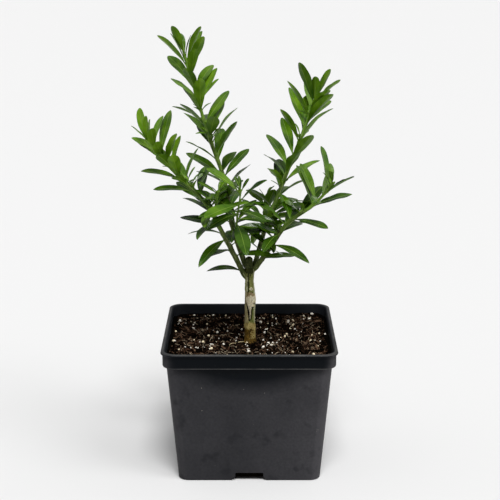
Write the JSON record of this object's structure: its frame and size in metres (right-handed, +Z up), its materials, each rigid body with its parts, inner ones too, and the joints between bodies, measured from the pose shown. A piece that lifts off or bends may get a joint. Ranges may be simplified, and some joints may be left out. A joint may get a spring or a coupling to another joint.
{
  "type": "potted finger lime tree",
  "caption": "Young finger lime tree in a square black nursery pot: slim trunk with a graft union, forked into four leafy upright shoots.",
  "frame": {"origin": "centre of the pot's flat underside", "axes": "+Z up along the trunk, +X to the right and -Y towards the front, square to the pot's sides"},
  "size_m": [0.1636, 0.131, 0.3346],
  "materials": {
    "pot_plastic": "fine-grained moulded black plastic, satin on the rim",
    "soil": "loose dark potting mix with bark chips, fibres and white perlite",
    "trunk_bark": "olive brown bark with a pale corky graft union",
    "cut_wood": "dry dark brown pruning stub",
    "green_bark": "smooth dark green young bark with pale leaf scars",
    "foliage": "glossy dark green leaves, paler and matte underneath"
  },
  "bodies": {
    "root": {"pot": "pot_plastic", "potting_soil": "soil", "trunk": "trunk_bark", "leader_stub": "cut_wood", "bough_left": "green_bark", "bough_tall": "green_bark", "bough_upper_right": "green_bark", "bough_right": "green_bark", "foliage_left": "foliage", "foliage_tall": "foliage", "foliage_upper_right": "foliage", "foliage_right": "foliage"}
  },
  "joints": []
}
